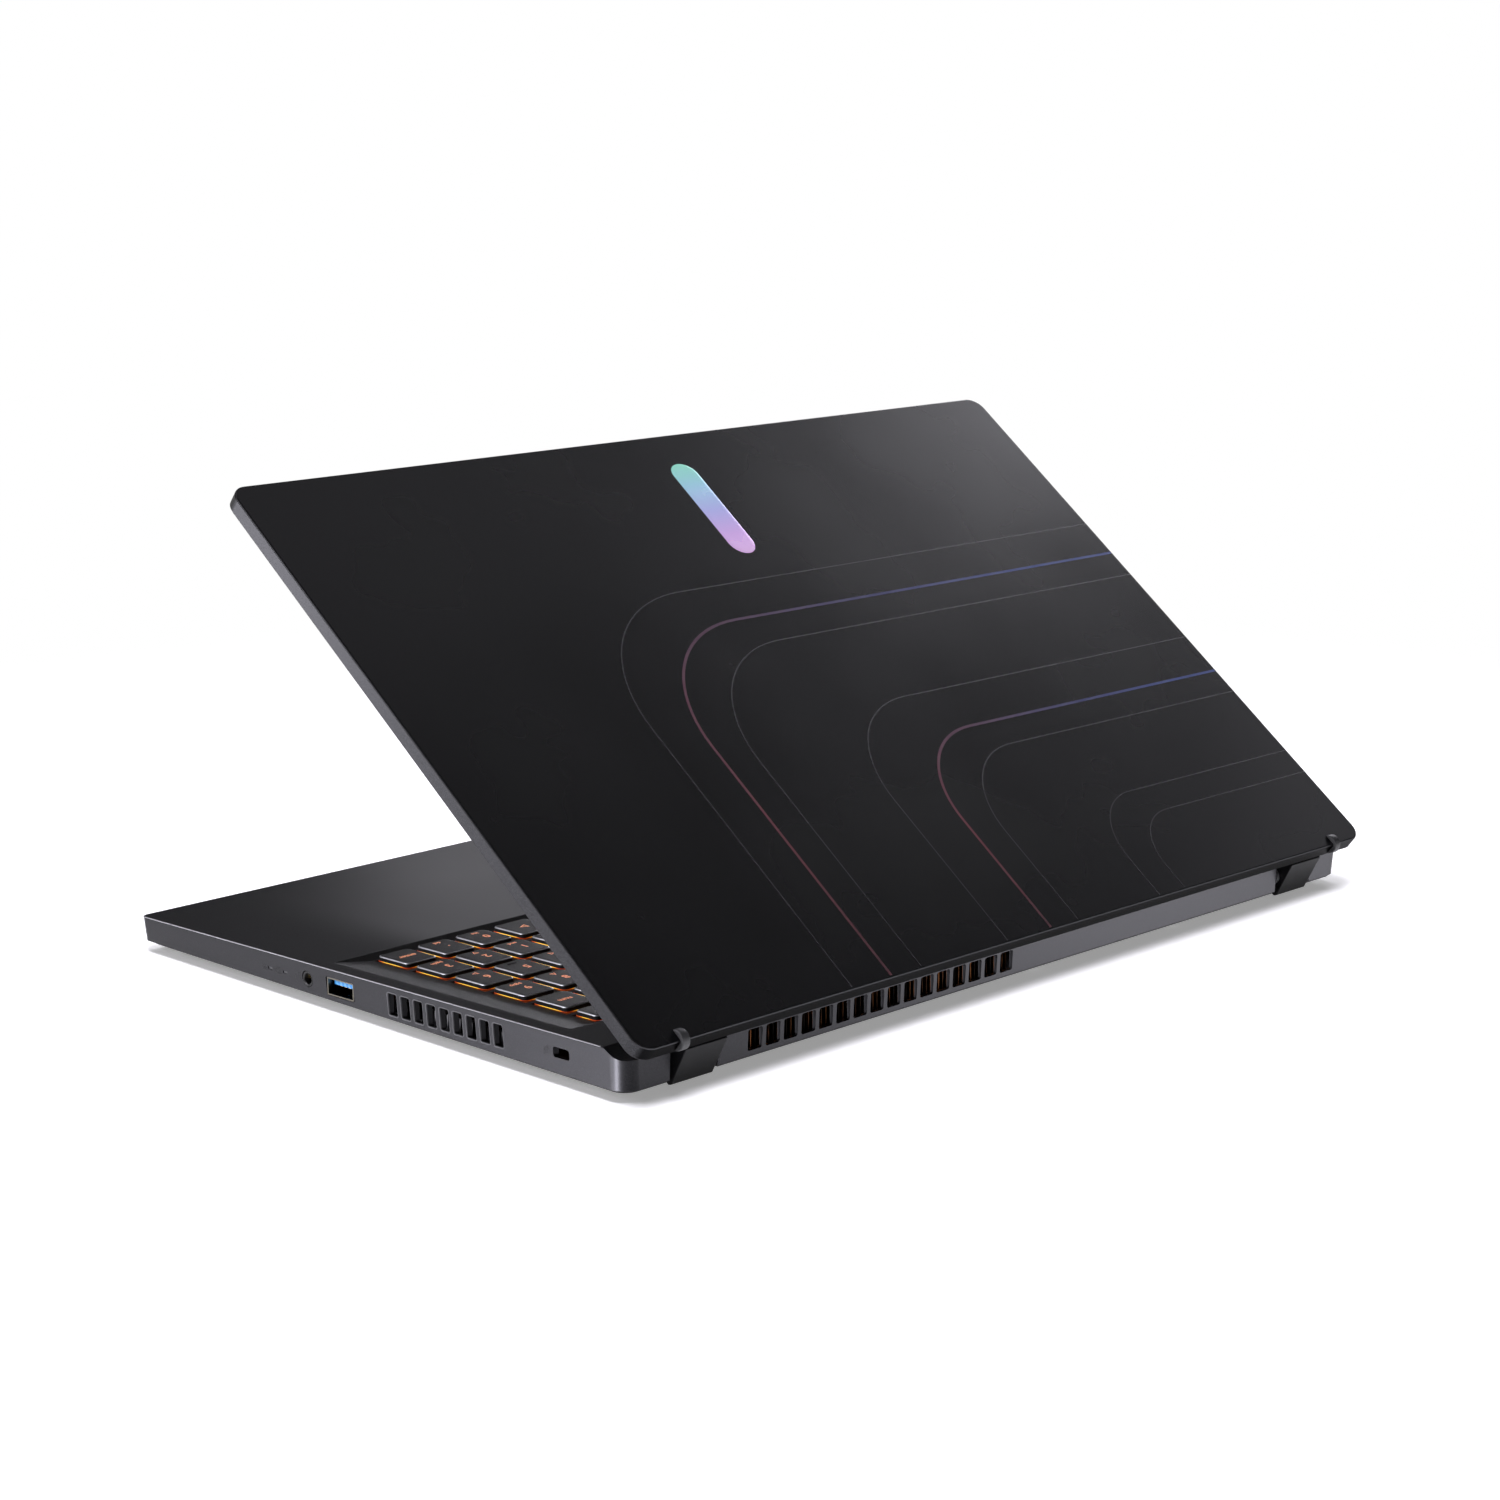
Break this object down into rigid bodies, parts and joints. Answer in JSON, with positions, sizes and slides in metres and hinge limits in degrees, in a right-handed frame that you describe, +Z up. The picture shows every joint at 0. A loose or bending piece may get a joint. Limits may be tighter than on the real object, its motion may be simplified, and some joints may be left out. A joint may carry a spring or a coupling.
{
  "type": "laptop computer",
  "caption": "Open laptop computer: thin lid with screen on two low rear hinges, wedge base with sunken lit keyboard, touchpad, side ports, side and rear air vents.",
  "frame": {"origin": "middle of the bounding box in X and Y with the lid at the pictured angle, on the surface that the feet stand on", "axes": "+X towards the user's right, +Y towards the rear (hinge side), +Z up"},
  "size_m": [0.3638, 0.2494, 0.1644],
  "materials": {
    "lid_shell": "satin blue-black coating",
    "case_shell": "fine-grained dark grey satin coating",
    "surround": "fine textured matte",
    "keycap": "smooth matte with lit legends",
    "bezel_plastic": "matte",
    "screen": "matte dark screen",
    "inlay": "iridescent film",
    "rubber": "matte rubber",
    "steel": "brushed",
    "copper": "bare copper",
    "board": "solder mask",
    "black_plastic": "moulded",
    "blue_plastic": "moulded blue",
    "port_metal": "plated sheet",
    "cell": "foil pouch cells in black wrap",
    "light": "translucent",
    "glass_pad": "satin glass-like"
  },
  "bodies": {
    "base": {"top_case": "case_shell", "keyboard_surround": "surround", "bottom_cover": "black_plastic", "keyboard_plate": "steel", "keyboard_backlight": "light", "motherboard": "board", "io_board": "board", "memory_modules": "board", "ssd_module": "board", "wireless_card": "board", "battery_pack": "cell", "heat_pipes": "copper", "rear_fin_stack": "copper", "side_fin_stack": "steel", "fan_housing_right": "black_plastic", "fan_housing_center": "black_plastic", "speakers": "black_plastic", "headset_jack": "black_plastic", "usb_port_right": "port_metal", "usb_tongue_right": "blue_plastic", "indicator_lights": "light", "usb_ports_left": "port_metal", "usb_c_port": "port_metal", "hdmi_port": "port_metal", "ethernet_port": "black_plastic", "dc_inlet": "black_plastic", "hinge_bracket_left": "steel", "hinge_bracket_right": "steel", "hinge_screws": "steel", "rubber_feet": "rubber", "bottom_screws": "steel"},
    "lid": {"lid_back_cover": "lid_shell", "lid_inlay": "inlay", "display_bezel": "bezel_plastic", "display_panel": "screen", "webcam_module": "black_plastic", "wifi_antennas": "copper", "display_cable": "black_plastic", "hinge_cover_left": "bezel_plastic", "hinge_cover_right": "bezel_plastic", "hinge_arm_left": "steel", "hinge_arm_right": "steel", "hinge_pins": "steel", "lid_bumpers": "rubber", "bezel_bumpers": "rubber"},
    "fan_right": {"fan_rotor_right": "black_plastic"},
    "fan_center": {"fan_rotor_center": "black_plastic"},
    "touch_plate": {"touchpad": "glass_pad"},
    "power_key": {"power_button": "keycap"},
    "keys_function_row": {"function_row_keys": "keycap"},
    "keys_number_row": {"number_row_keys": "keycap"},
    "keys_upper_row": {"upper_row_keys": "keycap"},
    "keys_home_row": {"home_row_keys": "keycap"},
    "keys_lower_row": {"lower_row_keys": "keycap"},
    "keys_bottom_row": {"bottom_row_keys": "keycap"},
    "keys_space_bar": {"space_bar": "keycap"},
    "keys_arrow": {"arrow_keys": "keycap"},
    "keys_numpad_left": {"numpad_left_keys": "keycap"},
    "keys_numpad_middle": {"numpad_middle_keys": "keycap"},
    "keys_numpad_right": {"numpad_right_keys": "keycap"}
  },
  "joints": [
    {"name": "display_hinge", "type": "hinge", "parent": "base", "child": "lid", "pos_m": [0, 0.1117, 0.00932], "axis": [-1, 0, 0], "range_deg": [-38.8, 67.2]},
    {"name": "fan_right_spin", "type": "hinge", "parent": "base", "child": "fan_right", "pos_m": [0.128, 0.06119, 0.0066], "axis": [0, 0, 1], "continuous": true},
    {"name": "fan_center_spin", "type": "hinge", "parent": "base", "child": "fan_center", "pos_m": [0.038, 0.06119, 0.0066], "axis": [0, 0, 1], "continuous": true},
    {"name": "key_function_row_press", "type": "slide", "parent": "base", "child": "keys_function_row", "axis": [0, 0.0195, -0.9998], "range_m": [0, 0.0013], "stiffness_N_per_m": 300, "springref_m": -0.0015},
    {"name": "key_number_row_press", "type": "slide", "parent": "base", "child": "keys_number_row", "axis": [0, 0.0195, -0.9998], "range_m": [0, 0.0013], "stiffness_N_per_m": 300, "springref_m": -0.0015},
    {"name": "key_upper_row_press", "type": "slide", "parent": "base", "child": "keys_upper_row", "axis": [0, 0.0195, -0.9998], "range_m": [0, 0.0013], "stiffness_N_per_m": 300, "springref_m": -0.0015},
    {"name": "key_home_row_press", "type": "slide", "parent": "base", "child": "keys_home_row", "axis": [0, 0.0195, -0.9998], "range_m": [0, 0.0013], "stiffness_N_per_m": 300, "springref_m": -0.0015},
    {"name": "key_lower_row_press", "type": "slide", "parent": "base", "child": "keys_lower_row", "axis": [0, 0.0195, -0.9998], "range_m": [0, 0.0013], "stiffness_N_per_m": 300, "springref_m": -0.0015},
    {"name": "key_bottom_row_press", "type": "slide", "parent": "base", "child": "keys_bottom_row", "axis": [0, 0.0195, -0.9998], "range_m": [0, 0.0013], "stiffness_N_per_m": 300, "springref_m": -0.0015},
    {"name": "key_space_bar_press", "type": "slide", "parent": "base", "child": "keys_space_bar", "axis": [0, 0.0195, -0.9998], "range_m": [0, 0.0013], "stiffness_N_per_m": 300, "springref_m": -0.0015},
    {"name": "key_arrow_press", "type": "slide", "parent": "base", "child": "keys_arrow", "axis": [0, 0.0195, -0.9998], "range_m": [0, 0.0013], "stiffness_N_per_m": 300, "springref_m": -0.0015},
    {"name": "key_numpad_left_press", "type": "slide", "parent": "base", "child": "keys_numpad_left", "axis": [0, 0.0195, -0.9998], "range_m": [0, 0.0013], "stiffness_N_per_m": 300, "springref_m": -0.0015},
    {"name": "key_numpad_middle_press", "type": "slide", "parent": "base", "child": "keys_numpad_middle", "axis": [0, 0.0195, -0.9998], "range_m": [0, 0.0013], "stiffness_N_per_m": 300, "springref_m": -0.0015},
    {"name": "key_numpad_right_press", "type": "slide", "parent": "base", "child": "keys_numpad_right", "axis": [0, 0.0195, -0.9998], "range_m": [0, 0.0013], "stiffness_N_per_m": 300, "springref_m": -0.0015},
    {"name": "power_press", "type": "slide", "parent": "base", "child": "power_key", "axis": [0, 0.0195, -0.9998], "range_m": [0, 0.0013], "stiffness_N_per_m": 250, "springref_m": -0.0015},
    {"name": "touchpad_click", "type": "hinge", "parent": "base", "child": "touch_plate", "pos_m": [0, -0.03505, 0.01348], "axis": [1, 0, 0], "range_deg": [0, 0.5], "stiffness_Nm_per_rad": 2, "springref_deg": -1.72}
  ]
}
